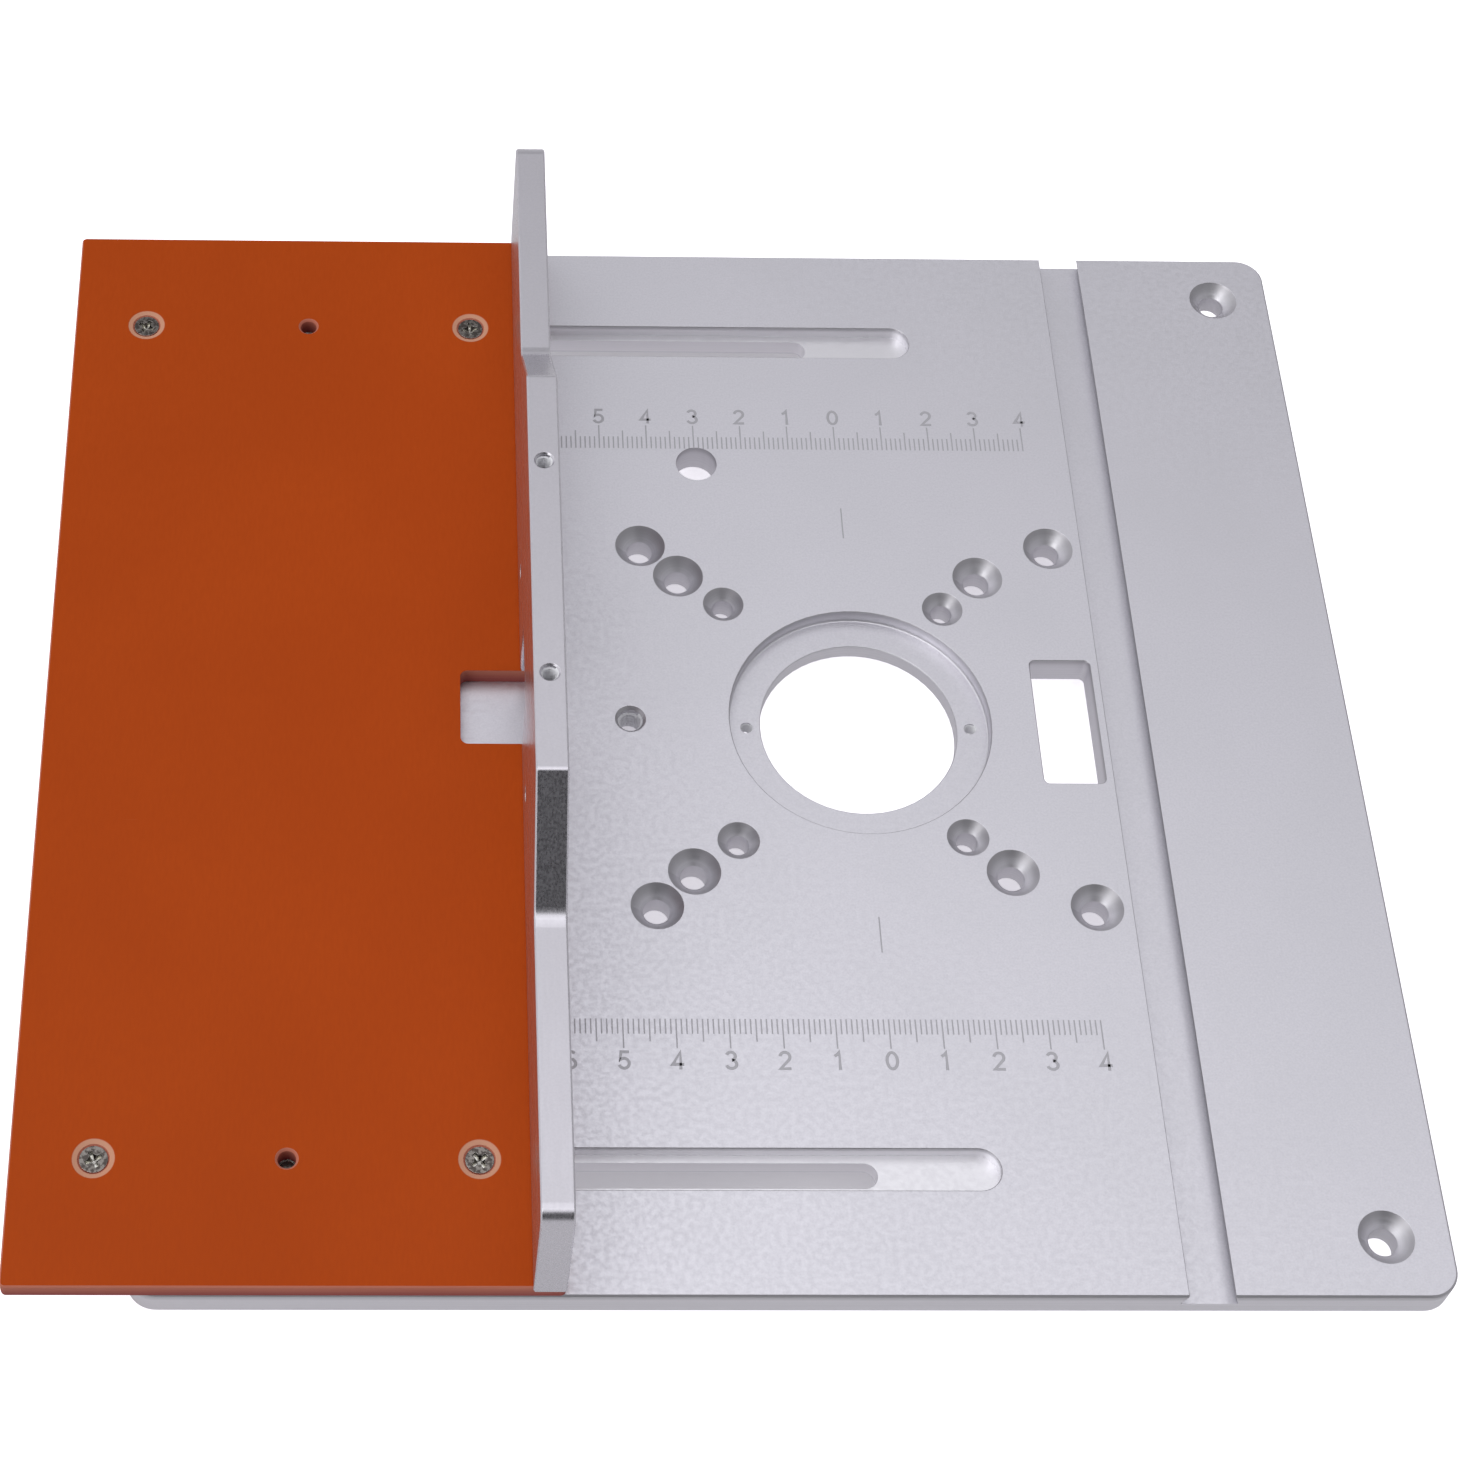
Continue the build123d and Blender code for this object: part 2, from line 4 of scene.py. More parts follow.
import bmesh
import bpy
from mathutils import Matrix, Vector


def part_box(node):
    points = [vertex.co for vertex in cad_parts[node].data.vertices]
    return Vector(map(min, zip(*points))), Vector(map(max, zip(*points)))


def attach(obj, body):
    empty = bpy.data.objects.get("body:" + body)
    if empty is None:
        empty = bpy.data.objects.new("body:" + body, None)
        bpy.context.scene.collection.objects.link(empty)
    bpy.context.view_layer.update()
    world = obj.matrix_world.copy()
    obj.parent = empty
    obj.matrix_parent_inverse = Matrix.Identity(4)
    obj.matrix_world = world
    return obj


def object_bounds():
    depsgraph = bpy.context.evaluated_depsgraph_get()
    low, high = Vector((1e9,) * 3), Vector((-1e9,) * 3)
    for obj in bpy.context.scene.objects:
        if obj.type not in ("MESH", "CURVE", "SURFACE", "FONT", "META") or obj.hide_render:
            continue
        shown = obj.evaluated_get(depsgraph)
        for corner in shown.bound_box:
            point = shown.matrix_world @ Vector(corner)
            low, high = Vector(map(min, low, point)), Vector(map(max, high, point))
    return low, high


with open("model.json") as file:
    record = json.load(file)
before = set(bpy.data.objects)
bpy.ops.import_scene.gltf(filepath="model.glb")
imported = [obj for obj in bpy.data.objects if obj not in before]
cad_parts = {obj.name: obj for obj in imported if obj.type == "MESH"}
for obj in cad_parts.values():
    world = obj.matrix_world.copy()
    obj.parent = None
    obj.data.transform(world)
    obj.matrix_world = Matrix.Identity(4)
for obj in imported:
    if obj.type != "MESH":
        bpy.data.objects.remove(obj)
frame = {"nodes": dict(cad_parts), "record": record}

# Metres, in the CAD frame: +X along the scales, +Y away from the user, +Z up, z = 0 on the plate's top.
CAD_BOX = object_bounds()
MM = 0.001

PLATE_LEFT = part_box("insert_plate")[0].x
PLATE_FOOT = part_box("insert_plate")[0].z
PLATE_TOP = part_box("insert_plate")[1].z
BOARD_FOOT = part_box("fence_board")[0].z
BOARD_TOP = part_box("fence_board")[1].z
SLOT_RIGHT = 26 * MM
SLOT_ROW = abs(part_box("guide_bar_far")[0].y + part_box("guide_bar_far")[1].y) / 2
MOUNTS = {m["name"]: m for m in frame["record"]["mounts"]}


# ---- Node helpers ----
class Tree:
    """A shader node tree whose nodes are made and wired in one call."""

    def __init__(self, owner):
        owner.use_nodes = True
        self.nodes = owner.node_tree.nodes
        self.links = owner.node_tree.links
        self.nodes.clear()

    def add(self, kind, inputs=None, out=0, **settings):
        """A new node with its inputs set or linked; returns one output socket."""
        node = self.nodes.new("ShaderNode" + kind)
        for key, value in settings.items():
            setattr(node, key, value)
        for key, value in (inputs or {}).items():
            if isinstance(value, bpy.types.NodeSocket):
                self.links.new(value, node.inputs[key])
            else:
                node.inputs[key].default_value = value
        return node.outputs[out] if len(node.outputs) else None

    def math(self, operation, a, b=0.0, clamp=False):
        return self.add("Math", {0: a, 1: b}, operation=operation, use_clamp=clamp)

    def vector(self, operation, a, b=(0, 0, 0), out=0):
        return self.add("VectorMath", {0: a, 1: b}, out=out, operation=operation)

    def ramp(self, value, low, high, to_low=0.0, to_high=1.0):
        """Value mapped smoothly from low..high to to_low..to_high, and held outside that span."""
        inputs = {"Value": value, "From Min": low, "From Max": high, "To Min": to_low, "To Max": to_high}
        return self.add("MapRange", inputs, interpolation_type="SMOOTHSTEP")

    def mix(self, factor, a, b):
        """Colour a where factor is 0 and colour b where it is 1."""
        return self.add("Mix", {"Factor": factor, 6: a, 7: b}, out=2, data_type="RGBA")

    def blend(self, factor, a, b):
        """Number a where factor is 0 and number b where it is 1."""
        return self.add("Mix", {"Factor": factor, 2: a, 3: b}, out=0, data_type="FLOAT")

    def noise(self, place, size, detail=2.0, stretch=(1, 1, 1)):
        """Noise about 0.5 whose grains are about `size` metres across, stretched along the axes."""
        scaled = self.vector("MULTIPLY", place, [1 / (size * s) for s in stretch])
        return self.add("TexNoise", {"Vector": scaled, "Scale": 1.0, "Detail": detail, "Roughness": 0.55})

    def split(self, vector):
        node = self.nodes.new("ShaderNodeSeparateXYZ")
        self.links.new(vector, node.inputs[0])
        return node.outputs


def rgb(red, green, blue):
    return (red, green, blue, 1.0)


def surface(name, build):
    """A material whose Principled inputs are what build(tree, place) returns, place being the CAD frame's."""
    material = bpy.data.materials.new(name)
    tree = Tree(material)
    place = tree.add("TexCoord", out="Object")
    shader = tree.add("BsdfPrincipled", build(tree, place))
    tree.add("OutputMaterial", {"Surface": shader})
    return material


def edge_mask(tree, radius, gain=3.0):
    """1 along sharp edges within `radius` metres, 0 on open faces."""
    rounded = tree.add("Bevel", {"Radius": radius}, samples=4)
    true_normal = tree.add("NewGeometry", out="True Normal")
    agreement = tree.vector("DOT_PRODUCT", rounded, true_normal, out="Value")
    return tree.math("MULTIPLY", tree.math("SUBTRACT", 1.0, agreement), gain, clamp=True)


def hollow_mask(tree, distance, low, high):
    """1 deep in corners and hollows whose walls stand within `distance` metres, 0 on open faces."""
    open_sky = tree.add("AmbientOcclusion", {"Distance": distance}, out="AO", samples=8)
    return tree.ramp(open_sky, low, high, 1.0, 0.0)


def facing(tree, axis, low, high):
    """1 on faces square to the axis (0, 1 or 2), falling to 0 as they turn away."""
    normal = tree.split(tree.add("NewGeometry", out="True Normal"))
    return tree.ramp(tree.math("ABSOLUTE", normal[axis]), low, high)


def near(tree, value, centre, half_size, blur):
    """1 within half_size of the centre, falling to 0 over the blur beyond it."""
    distance = tree.math("ABSOLUTE", tree.math("SUBTRACT", value, centre))
    return tree.ramp(distance, half_size, half_size + blur, 1.0, 0.0)


def bumped(tree, height, distance, strength=1.0, radius=0.12 * MM):
    """A normal roughened by height, on edges rounded by radius."""
    rounded = tree.add("Bevel", {"Radius": radius}, samples=4)
    inputs = {"Height": height, "Distance": distance, "Strength": strength, "Normal": rounded}
    return tree.add("Bump", inputs, out="Normal")


# ---- Materials ----
def blasted_plate(tree, place):
    """Fine sand-blasted, anodised aluminium on the flats, with satin turned and milled walls."""
    flat = facing(tree, 2, 0.9, 0.98)
    grain = tree.noise(place, 0.42 * MM, 3.0)
    clouds = tree.noise(place, 34 * MM, 2.0)
    pits = tree.noise(place, 1.1 * MM, 1.0)
    lathe = tree.noise(place, 0.22 * MM, 2.0, stretch=(400, 400, 1))

    blasted = tree.mix(grain, rgb(0.70, 0.69, 0.735), rgb(0.875, 0.86, 0.91))
    blasted = tree.mix(tree.ramp(clouds, 0.35, 0.65, 0.0, 0.16), blasted, rgb(0.70, 0.70, 0.73))
    cut = tree.mix(lathe, rgb(0.70, 0.69, 0.72), rgb(0.87, 0.86, 0.895))
    x, y, z = tree.split(place)
    mouth = tree.ramp(z, -2.2 * MM, -0.3 * MM)
    # Painted shade: cut walls darkened near their mouths, fading out 2.2 mm down
    cut = tree.mix(tree.math("MULTIPLY", mouth, 0.60), cut, rgb(0.42, 0.41, 0.43))
    colour = tree.mix(flat, cut, blasted)

    # Painted light and shade in hollows: lighter deep down, painted dark near their mouths and in the groove; the
    # slots' walls painted lighter below their mouths
    groove = near(tree, x, MOUNTS["mitre_groove"]["pos_m"][0], 6 * MM, 1 * MM)
    shaded = tree.math("MAXIMUM", mouth, groove)
    painted_light_tone = rgb(0.97, 0.96, 0.985)
    hollow_light_and_shade = tree.math("MULTIPLY", hollow_mask(tree, 3.5 * MM, 0.22, 0.55), 0.70)
    colour = tree.mix(hollow_light_and_shade, colour, tree.mix(shaded, painted_light_tone, rgb(0.16, 0.16, 0.175)))
    # Painted light: the slots' walls lightened below their mouths
    slot_painted_light = near(tree, tree.math("ABSOLUTE", y), SLOT_ROW, 6 * MM, 1 * MM)
    middle, half = (SLOT_RIGHT + PLATE_LEFT) / 2, (SLOT_RIGHT - PLATE_LEFT) / 2
    slot_painted_light = tree.math("MULTIPLY", slot_painted_light, near(tree, x, middle, half - 0.8 * MM, 0.6 * MM))
    slot_painted_light = tree.math("MULTIPLY", slot_painted_light, tree.ramp(z, PLATE_FOOT + 0.1 * MM, PLATE_FOOT + 0.4 * MM))
    colour = tree.mix(tree.math("MULTIPLY", slot_painted_light, tree.ramp(z, -1.5 * MM, -0.5 * MM, 0.7, 0.0)), colour, painted_light_tone)
    # Painted highlight: thin near-white rims along the sharp edges
    edges = edge_mask(tree, 0.14 * MM)
    colour = tree.mix(tree.math("MULTIPLY", edges, 0.45), colour, rgb(0.95, 0.95, 0.97))

    rough = tree.blend(flat, tree.ramp(lathe, 0.3, 0.7, 0.42, 0.50), tree.ramp(pits, 0.3, 0.7, 0.40, 0.50))
    return {
        "Base Color": colour,
        "Metallic": 1.0,
        "Roughness": rough,
        "Normal": bumped(tree, tree.blend(flat, lathe, grain), 0.010 * MM, 0.8),
    }


def milled_fence(tree, place):
    """Anodised aluminium bar: fine lengthwise drawing lines, glossier sides, and painted highlights along the broken
    edges.
    """
    flat = facing(tree, 2, 0.9, 0.98)
    grain = tree.noise(place, 0.45 * MM, 3.0)
    drawn = tree.noise(place, 0.35 * MM, 2.0, stretch=(1, 30, 1))
    clouds = tree.noise(place, 22 * MM, 2.0)
    colour = tree.mix(grain, rgb(0.625, 0.61, 0.65), rgb(0.725, 0.705, 0.75))
    colour = tree.mix(tree.ramp(clouds, 0.35, 0.65, 0.0, 0.14), colour, rgb(0.59, 0.58, 0.60))
    # Painted highlight: near-white rims along the broken edges
    edges = edge_mask(tree, 0.16 * MM)
    colour = tree.mix(tree.math("MULTIPLY", edges, 0.6), colour, rgb(0.97, 0.96, 0.97))
    top_rough = tree.ramp(drawn, 0.3, 0.7, 0.40, 0.46)
    side_rough = tree.ramp(drawn, 0.3, 0.7, 0.24, 0.32)
    return {
        "Base Color": colour,
        "Metallic": 1.0,
        "Roughness": tree.blend(flat, side_rough, top_rough),
        "Normal": bumped(tree, tree.blend(0.15, grain, drawn), 0.003 * MM, tree.blend(flat, 0.06, 0.5)),
    }


def milled_bar(tree, place):
    """The guide bars' plain milled aluminium."""
    mill = tree.noise(place, 0.35 * MM, 2.0, stretch=(50, 1, 1))
    grain = tree.noise(place, 0.5 * MM, 3.0)
    colour = tree.mix(mill, rgb(0.62, 0.62, 0.64), rgb(0.84, 0.84, 0.86))
    # Painted highlight: the sharp edges' rims lightened towards near-white
    return {
        "Base Color": tree.mix(tree.math("MULTIPLY", edge_mask(tree, 0.12 * MM), 0.5), colour, rgb(0.95, 0.95, 0.96)),
        "Metallic": 1.0,
        "Roughness": tree.ramp(grain, 0.3, 0.7, 0.24, 0.38),
        "Normal": bumped(tree, mill, 0.01 * MM, 0.7),
    }


def laminate_board(tree, place):
    """Orange-brown phenolic sheet: semi-gloss faces with faint fibre, and a paler layered cut edge painted darker
    towards its foot as shade.
    """
    z = tree.split(place)[2]
    flat = facing(tree, 2, 0.80, 0.97)
    fibre = tree.noise(place, 0.6 * MM, 3.0, stretch=(1, 4, 1))
    clouds = tree.noise(place, 45 * MM, 2.0)
    layers = tree.noise(place, 0.22 * MM, 2.0, stretch=(90, 90, 1))
    sheet = tree.mix(fibre, rgb(0.452, 0.060, 0.0034), rgb(0.517, 0.074, 0.0052))
    sheet = tree.mix(tree.ramp(clouds, 0.3, 0.7, 0.0, 0.30), sheet, rgb(0.415, 0.053, 0.0028))
    upper_edge = tree.mix(layers, rgb(0.46, 0.12, 0.075), rgb(0.62, 0.25, 0.17))
    # Painted shade: the cut edge darkens towards its foot, where it meets the plate
    edge_foot_painted_shade = tree.mix(layers, rgb(0.27, 0.055, 0.05), rgb(0.38, 0.10, 0.09))
    edge = tree.mix(tree.ramp(z, BOARD_FOOT, BOARD_TOP, 0.0, 1.0), edge_foot_painted_shade, upper_edge)
    colour = tree.mix(flat, edge, sheet)

    # Paler dished ring round each bar screw, cut through the sheet's skin
    dished = tree.math("MULTIPLY", tree.ramp(z, BOARD_TOP - 0.6 * MM, BOARD_TOP - 0.45 * MM),
                       tree.ramp(z, BOARD_TOP - 0.08 * MM, BOARD_TOP - 0.01 * MM, 1.0, 0.0))
    ring = tree.math("MULTIPLY", dished, facing(tree, 2, 0.90, 0.95))
    colour = tree.mix(tree.math("MULTIPLY", ring, 0.95), colour, rgb(0.66, 0.34, 0.22))

    scratch = tree.noise(place, 0.5 * MM, 4.0, stretch=(14, 1, 1))
    patch = tree.ramp(tree.noise(place, 16 * MM, 1.0), 0.66, 0.74)
    marks = tree.math("MULTIPLY", tree.ramp(scratch, 0.70, 0.78, 0.0, 0.35), patch)
    colour = tree.mix(marks, colour, rgb(0.62, 0.36, 0.24))
    return {
        "Base Color": colour,
        "Roughness": tree.blend(flat, 0.62, tree.ramp(fibre, 0.3, 0.7, 0.34, 0.44)),
        "Specular IOR Level": 0.08,
        "Normal": bumped(tree, tree.blend(flat, layers, fibre), 0.012 * MM, 0.5),
    }


def plated_steel(tree, place):
    """Plated screw and stud steel: browned and stained on its faces, with painted reflection in its recesses and
    painted highlights on its rims.
    """
    grain = tree.noise(place, 0.30 * MM, 3.0)
    blotch = tree.noise(place, 0.9 * MM, 2.0)
    colour = tree.mix(grain, rgb(0.13, 0.115, 0.105), rgb(0.32, 0.30, 0.275))
    colour = tree.mix(tree.ramp(blotch, 0.42, 0.56, 0.0, 0.85), colour, rgb(0.065, 0.055, 0.05))
    # Painted reflection: recesses lightened towards near-white
    colour = tree.mix(hollow_mask(tree, 1.0 * MM, 0.30, 0.62), colour, rgb(0.86, 0.85, 0.80))
    # Painted highlight: near-white rims along the sharp edges
    edges = edge_mask(tree, 0.10 * MM)
    colour = tree.mix(tree.math("MULTIPLY", edges, 0.8), colour, rgb(0.93, 0.92, 0.88))
    return {
        "Base Color": colour,
        "Metallic": 1.0,
        "Roughness": tree.ramp(blotch, 0.3, 0.7, 0.18, 0.34),
        "Normal": bumped(tree, blotch, 0.05 * MM, 0.8, radius=0.08 * MM),
    }


def turned_brass(tree, place):
    """The knob bushes' turned brass."""
    lathe = tree.noise(place, 0.14 * MM, 2.0, stretch=(200, 200, 1))
    tarnish = tree.noise(place, 2.2 * MM, 3.0)
    colour = tree.mix(lathe, rgb(0.62, 0.42, 0.14), rgb(0.86, 0.64, 0.28))
    colour = tree.mix(tree.ramp(tarnish, 0.45, 0.75, 0.0, 0.5), colour, rgb(0.36, 0.24, 0.10))
    return {
        "Base Color": colour,
        "Metallic": 1.0,
        "Roughness": tree.ramp(tarnish, 0.3, 0.7, 0.22, 0.42),
        "Normal": bumped(tree, lathe, 0.01 * MM, 0.7),
    }


def moulded_knob(tree, place):
    """Black moulded plastic with a fine spark-eroded texture, rubbed paler along its lobes."""
    grain = tree.noise(place, 0.28 * MM, 3.0)
    clouds = tree.noise(place, 5 * MM, 2.0)
    colour = tree.mix(grain, rgb(0.012, 0.012, 0.013), rgb(0.030, 0.030, 0.032))
    colour = tree.mix(tree.math("MULTIPLY", edge_mask(tree, 0.3 * MM), 0.5), colour, rgb(0.085, 0.085, 0.088))
    return {
        "Base Color": tree.mix(tree.ramp(clouds, 0.4, 0.7, 0.0, 0.4), colour, rgb(0.020, 0.020, 0.021)),
        "Roughness": tree.ramp(grain, 0.3, 0.7, 0.48, 0.62),
        "Specular IOR Level": 0.4,
        "Normal": bumped(tree, grain, 0.03 * MM, 0.8),
    }


def etched_mark(tree, place):
    """The laser-etched grey of the scales' ticks and numbers."""
    grain = tree.noise(place, 0.20 * MM, 2.0)
    colour = tree.mix(grain, rgb(0.48, 0.475, 0.50), rgb(0.61, 0.60, 0.63))
    return {
        "Base Color": colour,
        "Metallic": 0.75,
        "Roughness": tree.ramp(grain, 0.3, 0.7, 0.50, 0.62),
        "Normal": bumped(tree, grain, 0.01 * MM, 0.6),
    }


def bright_painted_thread(tree, place):
    """Tapped thread in the aluminium, painted near-white and nearly non-metallic as painted light so the holes read
    bright.
    """
    grain = tree.noise(place, 0.2 * MM, 2.0)
    return {
        "Base Color": tree.mix(grain, rgb(0.88, 0.88, 0.90), rgb(0.98, 0.98, 1.00)),
        "Metallic": 0.10,
        "Roughness": tree.ramp(grain, 0.3, 0.7, 0.42, 0.54),
        "Normal": bumped(tree, grain, 0.01 * MM, 0.6, radius=0.05 * MM),
    }


FINISHES = {
    "plate_aluminium": surface("blasted_aluminium", blasted_plate),
    "fence_aluminium": surface("milled_aluminium", milled_fence),
    "bar_aluminium": surface("milled_bar_aluminium", milled_bar),
    "board_laminate": surface("phenolic_laminate", laminate_board),
    "screw_steel": surface("plated_screw_steel", plated_steel),
    "washer_steel": surface("plated_washer_steel", plated_steel),
    "bush_brass": surface("turned_brass", turned_brass),
    "knob_plastic": surface("moulded_black_plastic", moulded_knob),
}
ETCHED = surface("etched_grey", etched_mark)
TAPPED = surface("tapped_thread", bright_painted_thread)

for subpart in frame["record"]["subparts"]:
    node = frame["nodes"][subpart["node"]]
    node.data.materials.clear()
    node.data.materials.append(FINISHES[subpart["material_slot"]])


# ---- New pieces ----
def piece(name, bm, material, body):
    """Turns a bmesh into a named piece that rides on a CAD body."""
    bmesh.ops.recalc_face_normals(bm, faces=bm.faces)
    mesh = bpy.data.meshes.new(name)
    bm.to_mesh(mesh)
    bm.free()
    mesh.materials.append(material)
    made = bpy.data.objects.new(name, mesh)
    bpy.context.scene.collection.objects.link(made)
    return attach(made, body)


# Scales: thin etched solids that stand a hair above the plate, below the board's gliding gap
MARK_FOOT = -0.01 * MM
MARK_TOP = 0.02 * MM
TICK_WIDTH = 0.26 * MM
TICK_LENGTH = {1: 3.1 * MM, 5: 4.7 * MM, 10: 6.1 * MM}
SCALE_LEFT, SCALE_RIGHT = -80, 40
SCALE_FAR_Y = 67.8 * MM
SCALE_NEAR_Y = -66.6 * MM
DIGIT_HEIGHT = 3.8 * MM
DIGIT_GAP = 0.55 * MM
CENTRE_MARK = (44.7 * MM, 52.4 * MM)


def add_bar(bm, low_x, high_x, low_y, high_y):
    """A thin closed bar between the marks' foot and top heights."""
    made = bmesh.ops.create_cube(bm, size=1.0)["verts"]
    size = Vector((high_x - low_x, high_y - low_y, MARK_TOP - MARK_FOOT))
    centre = Vector(((low_x + high_x) / 2, (low_y + high_y) / 2, (MARK_TOP + MARK_FOOT) / 2))
    for vert in made:
        vert.co = centre + Vector([a * b for a, b in zip(vert.co, size)])


def arc(centre_x, centre_y, radius_x, radius_y, start, end):
    """Points along an ellipse's arc, angles in degrees, anticlockwise from +X."""
    steps = max(2, round(abs(end - start) / 15))
    turns = [math.radians(start + (end - start) * i / steps) for i in range(steps + 1)]
    return [(centre_x + radius_x * math.cos(t), centre_y + radius_y * math.sin(t)) for t in turns]


# Each figure's pen strokes, on a box one unit tall and FIGURE_WIDTH wide
FIGURE_WIDTH = 0.64
PEN = 0.15
FIGURES = {
    0: [arc(0.32, 0.5, 0.255, 0.443, 0, 360)],
    1: [[(0.13, 0.74), (0.27, 0.82), (0.37, 0.97), (0.37, 0.0)]],
    2: [arc(0.32, 0.69, 0.245, 0.253, 170, -38) + [(0.08, 0.057), (0.60, 0.057)]],
    3: [arc(0.30, 0.725, 0.215, 0.218, 160, -80), arc(0.31, 0.285, 0.255, 0.228, 82, -165)],
    4: [[(0.45, 0.0), (0.45, 0.93), (0.06, 0.275), (0.62, 0.275)]],
    5: [[(0.57, 0.943), (0.18, 0.943), (0.12, 0.50)] + arc(0.31, 0.325, 0.255, 0.268, 125, -160)],
    6: [arc(0.33, 0.30, 0.245, 0.243, 180, 540), arc(0.37, 0.46, 0.285, 0.483, 190, 55)],
    7: [[(0.06, 0.943), (0.57, 0.943), (0.38, 0.60), (0.27, 0.0)]],
    8: [arc(0.32, 0.73, 0.205, 0.213, 0, 360), arc(0.32, 0.285, 0.245, 0.228, 0, 360)],
}


def add_stroke(bm, points, width):
    """A closed solid as wide as the pen along the points, between the marks' foot and top heights."""
    path = [Vector(p) for p in points]
    looped = (path[0] - path[-1]).length < width / 100
    if looped:
        path.pop()
    count = len(path)
    rings = []
    for i, point in enumerate(path):
        before = point - path[i - 1] if looped or i else path[1] - path[0]
        after = path[(i + 1) % count] - point if looped or i < count - 1 else before
        side_a, side_b = before.orthogonal().normalized(), after.orthogonal().normalized()
        side = (side_a + side_b).normalized()
        side *= width / 2 / max(side.dot(side_a), 0.5)
        left, right = point + side, point - side
        corners = [(left, MARK_FOOT), (left, MARK_TOP), (right, MARK_TOP), (right, MARK_FOOT)]
        rings.append([bm.verts.new((*place, z)) for place, z in corners])
    for a, b in zip(rings, rings[1:] + rings[:1] if looped else rings[1:]):
        for k in range(4):
            bm.faces.new((a[k], a[(k + 1) % 4], b[(k + 1) % 4], b[k]))
    if not looped:
        bm.faces.new(rings[0])
        bm.faces.new(rings[-1][::-1])


def add_digit(bm, figure, x, foot_y):
    """A figure standing at foot_y, centred on x."""
    for stroke in FIGURES[figure]:
        points = [(x + (u - FIGURE_WIDTH / 2) * DIGIT_HEIGHT, foot_y + v * DIGIT_HEIGHT) for u, v in stroke]
        add_stroke(bm, points, PEN * DIGIT_HEIGHT)


def scale(name, base_y, outward):
    """A millimetre scale whose ticks grow from base_y to the +Y side (outward 1) or the -Y side (-1)."""
    bm = bmesh.new()
    for tick in range(SCALE_LEFT, SCALE_RIGHT + 1):
        step = 10 if tick % 10 == 0 else 5 if tick % 5 == 0 else 1
        ends = sorted((base_y, base_y + outward * TICK_LENGTH[step]))
        add_bar(bm, tick * MM - TICK_WIDTH / 2, tick * MM + TICK_WIDTH / 2, *ends)
    tip_y = base_y + outward * (TICK_LENGTH[10] + DIGIT_GAP)
    foot_y = tip_y if outward > 0 else tip_y - DIGIT_HEIGHT
    for centimetre in range(SCALE_LEFT // 10, SCALE_RIGHT // 10 + 1):
        add_digit(bm, abs(centimetre), centimetre * 10 * MM, foot_y)
    return piece(name, bm, ETCHED, "table")


def centre_marks():
    """The two short lines that point at the router's axis."""
    bm = bmesh.new()
    for side in (-1, 1):
        low, high = sorted((side * CENTRE_MARK[0], side * CENTRE_MARK[1]))
        add_bar(bm, -TICK_WIDTH / 2, TICK_WIDTH / 2, low, high)
    return piece("centre_marks", bm, ETCHED, "table")


scale("scale_far", SCALE_FAR_Y, 1)
scale("scale_near", SCALE_NEAR_Y, -1)
centre_marks()

# Threads: a helical ridge inside each tapped hole's wall
THREAD_STEPS = 20
THREAD_BITE = 0.02 * MM


def thread(name, places, axis, radius, pitch, depth, body):
    """A right-hand ridge down each hole from its mouth at `places`, axis pointing out of the mouth."""
    out = Vector(axis)
    across = out.orthogonal().normalized()
    along = out.cross(across)
    crest, half = pitch * 0.42, pitch * 0.40
    bm = bmesh.new()
    for mouth in places:
        rings = []
        steps = int(THREAD_STEPS * depth / pitch)
        for i in range(steps + 1):
            turn = 2 * math.pi * i / THREAD_STEPS
            radial = across * math.cos(turn) - along * math.sin(turn)
            centre = Vector(mouth) - out * (half + pitch * i / THREAD_STEPS)
            rings.append(
                [
                    bm.verts.new(centre + radial * (radius + THREAD_BITE) + out * half),
                    bm.verts.new(centre + radial * (radius - crest)),
                    bm.verts.new(centre + radial * (radius + THREAD_BITE) - out * half),
                ]
            )
        for a, b in zip(rings, rings[1:]):
            for k in range(3):
                bm.faces.new((a[k], a[(k + 1) % 3], b[(k + 1) % 3], b[k]))
        bm.faces.new(rings[0])
        bm.faces.new(rings[-1][::-1])
    return piece(name, bm, TAPPED, body)


def pair(mount):
    """The two hole centres of a two-hole mount, whose spacings run along the two axes square to its own."""
    centre = Vector(MOUNTS[mount]["pos_m"])
    dims = MOUNTS[mount]["dims"]
    spacings = [dims.get("spacing_x_mm", 0), dims.get("spacing_y_mm", 0)]
    half = Vector([0 if abs(part) > 0.5 else spacings.pop(0) for part in MOUNTS[mount]["axis"]]) * MM / 2
    return [centre - half, centre + half]


def hole_radius(mount):
    dims = MOUNTS[mount]["dims"]
    return dims.get("r_mm", dims.get("hole_r_mm")) * MM


pin = MOUNTS["starter_pin_thread"]
pin_mouth = Vector((pin["pos_m"][0], pin["pos_m"][1], PLATE_TOP - 0.7 * MM))
thread("starter_pin_ridges", [pin_mouth], pin["axis"], hole_radius("starter_pin_thread"), 1.0 * MM, 5.2 * MM,
       "table")
thread("ring_screw_ridges", pair("ring_screws"), (0, 0, 1), hole_radius("ring_screws"), 0.5 * MM, 3.1 * MM,
       "table")
thread("fence_top_ridges", pair("fence_top_threads"), (0, 0, 1), hole_radius("fence_top_threads"), 0.7 * MM,
       9.0 * MM, "fence")
thread("fence_back_ridges", pair("fence_back_threads"), (-1, 0, 0), hole_radius("fence_back_threads"), 0.7 * MM,
       3.2 * MM, "fence")

# ---- Floor, light and camera ----
FLOOR_SIZE = 40.0
FLOOR_Z = CAD_BOX[0].z - 0.1 * MM
FLOOR_SEEN = {"glow": 0.90, "white": 0.85}
FLOOR_MIRRORED = {"glow": 0.20, "white": 0.52}
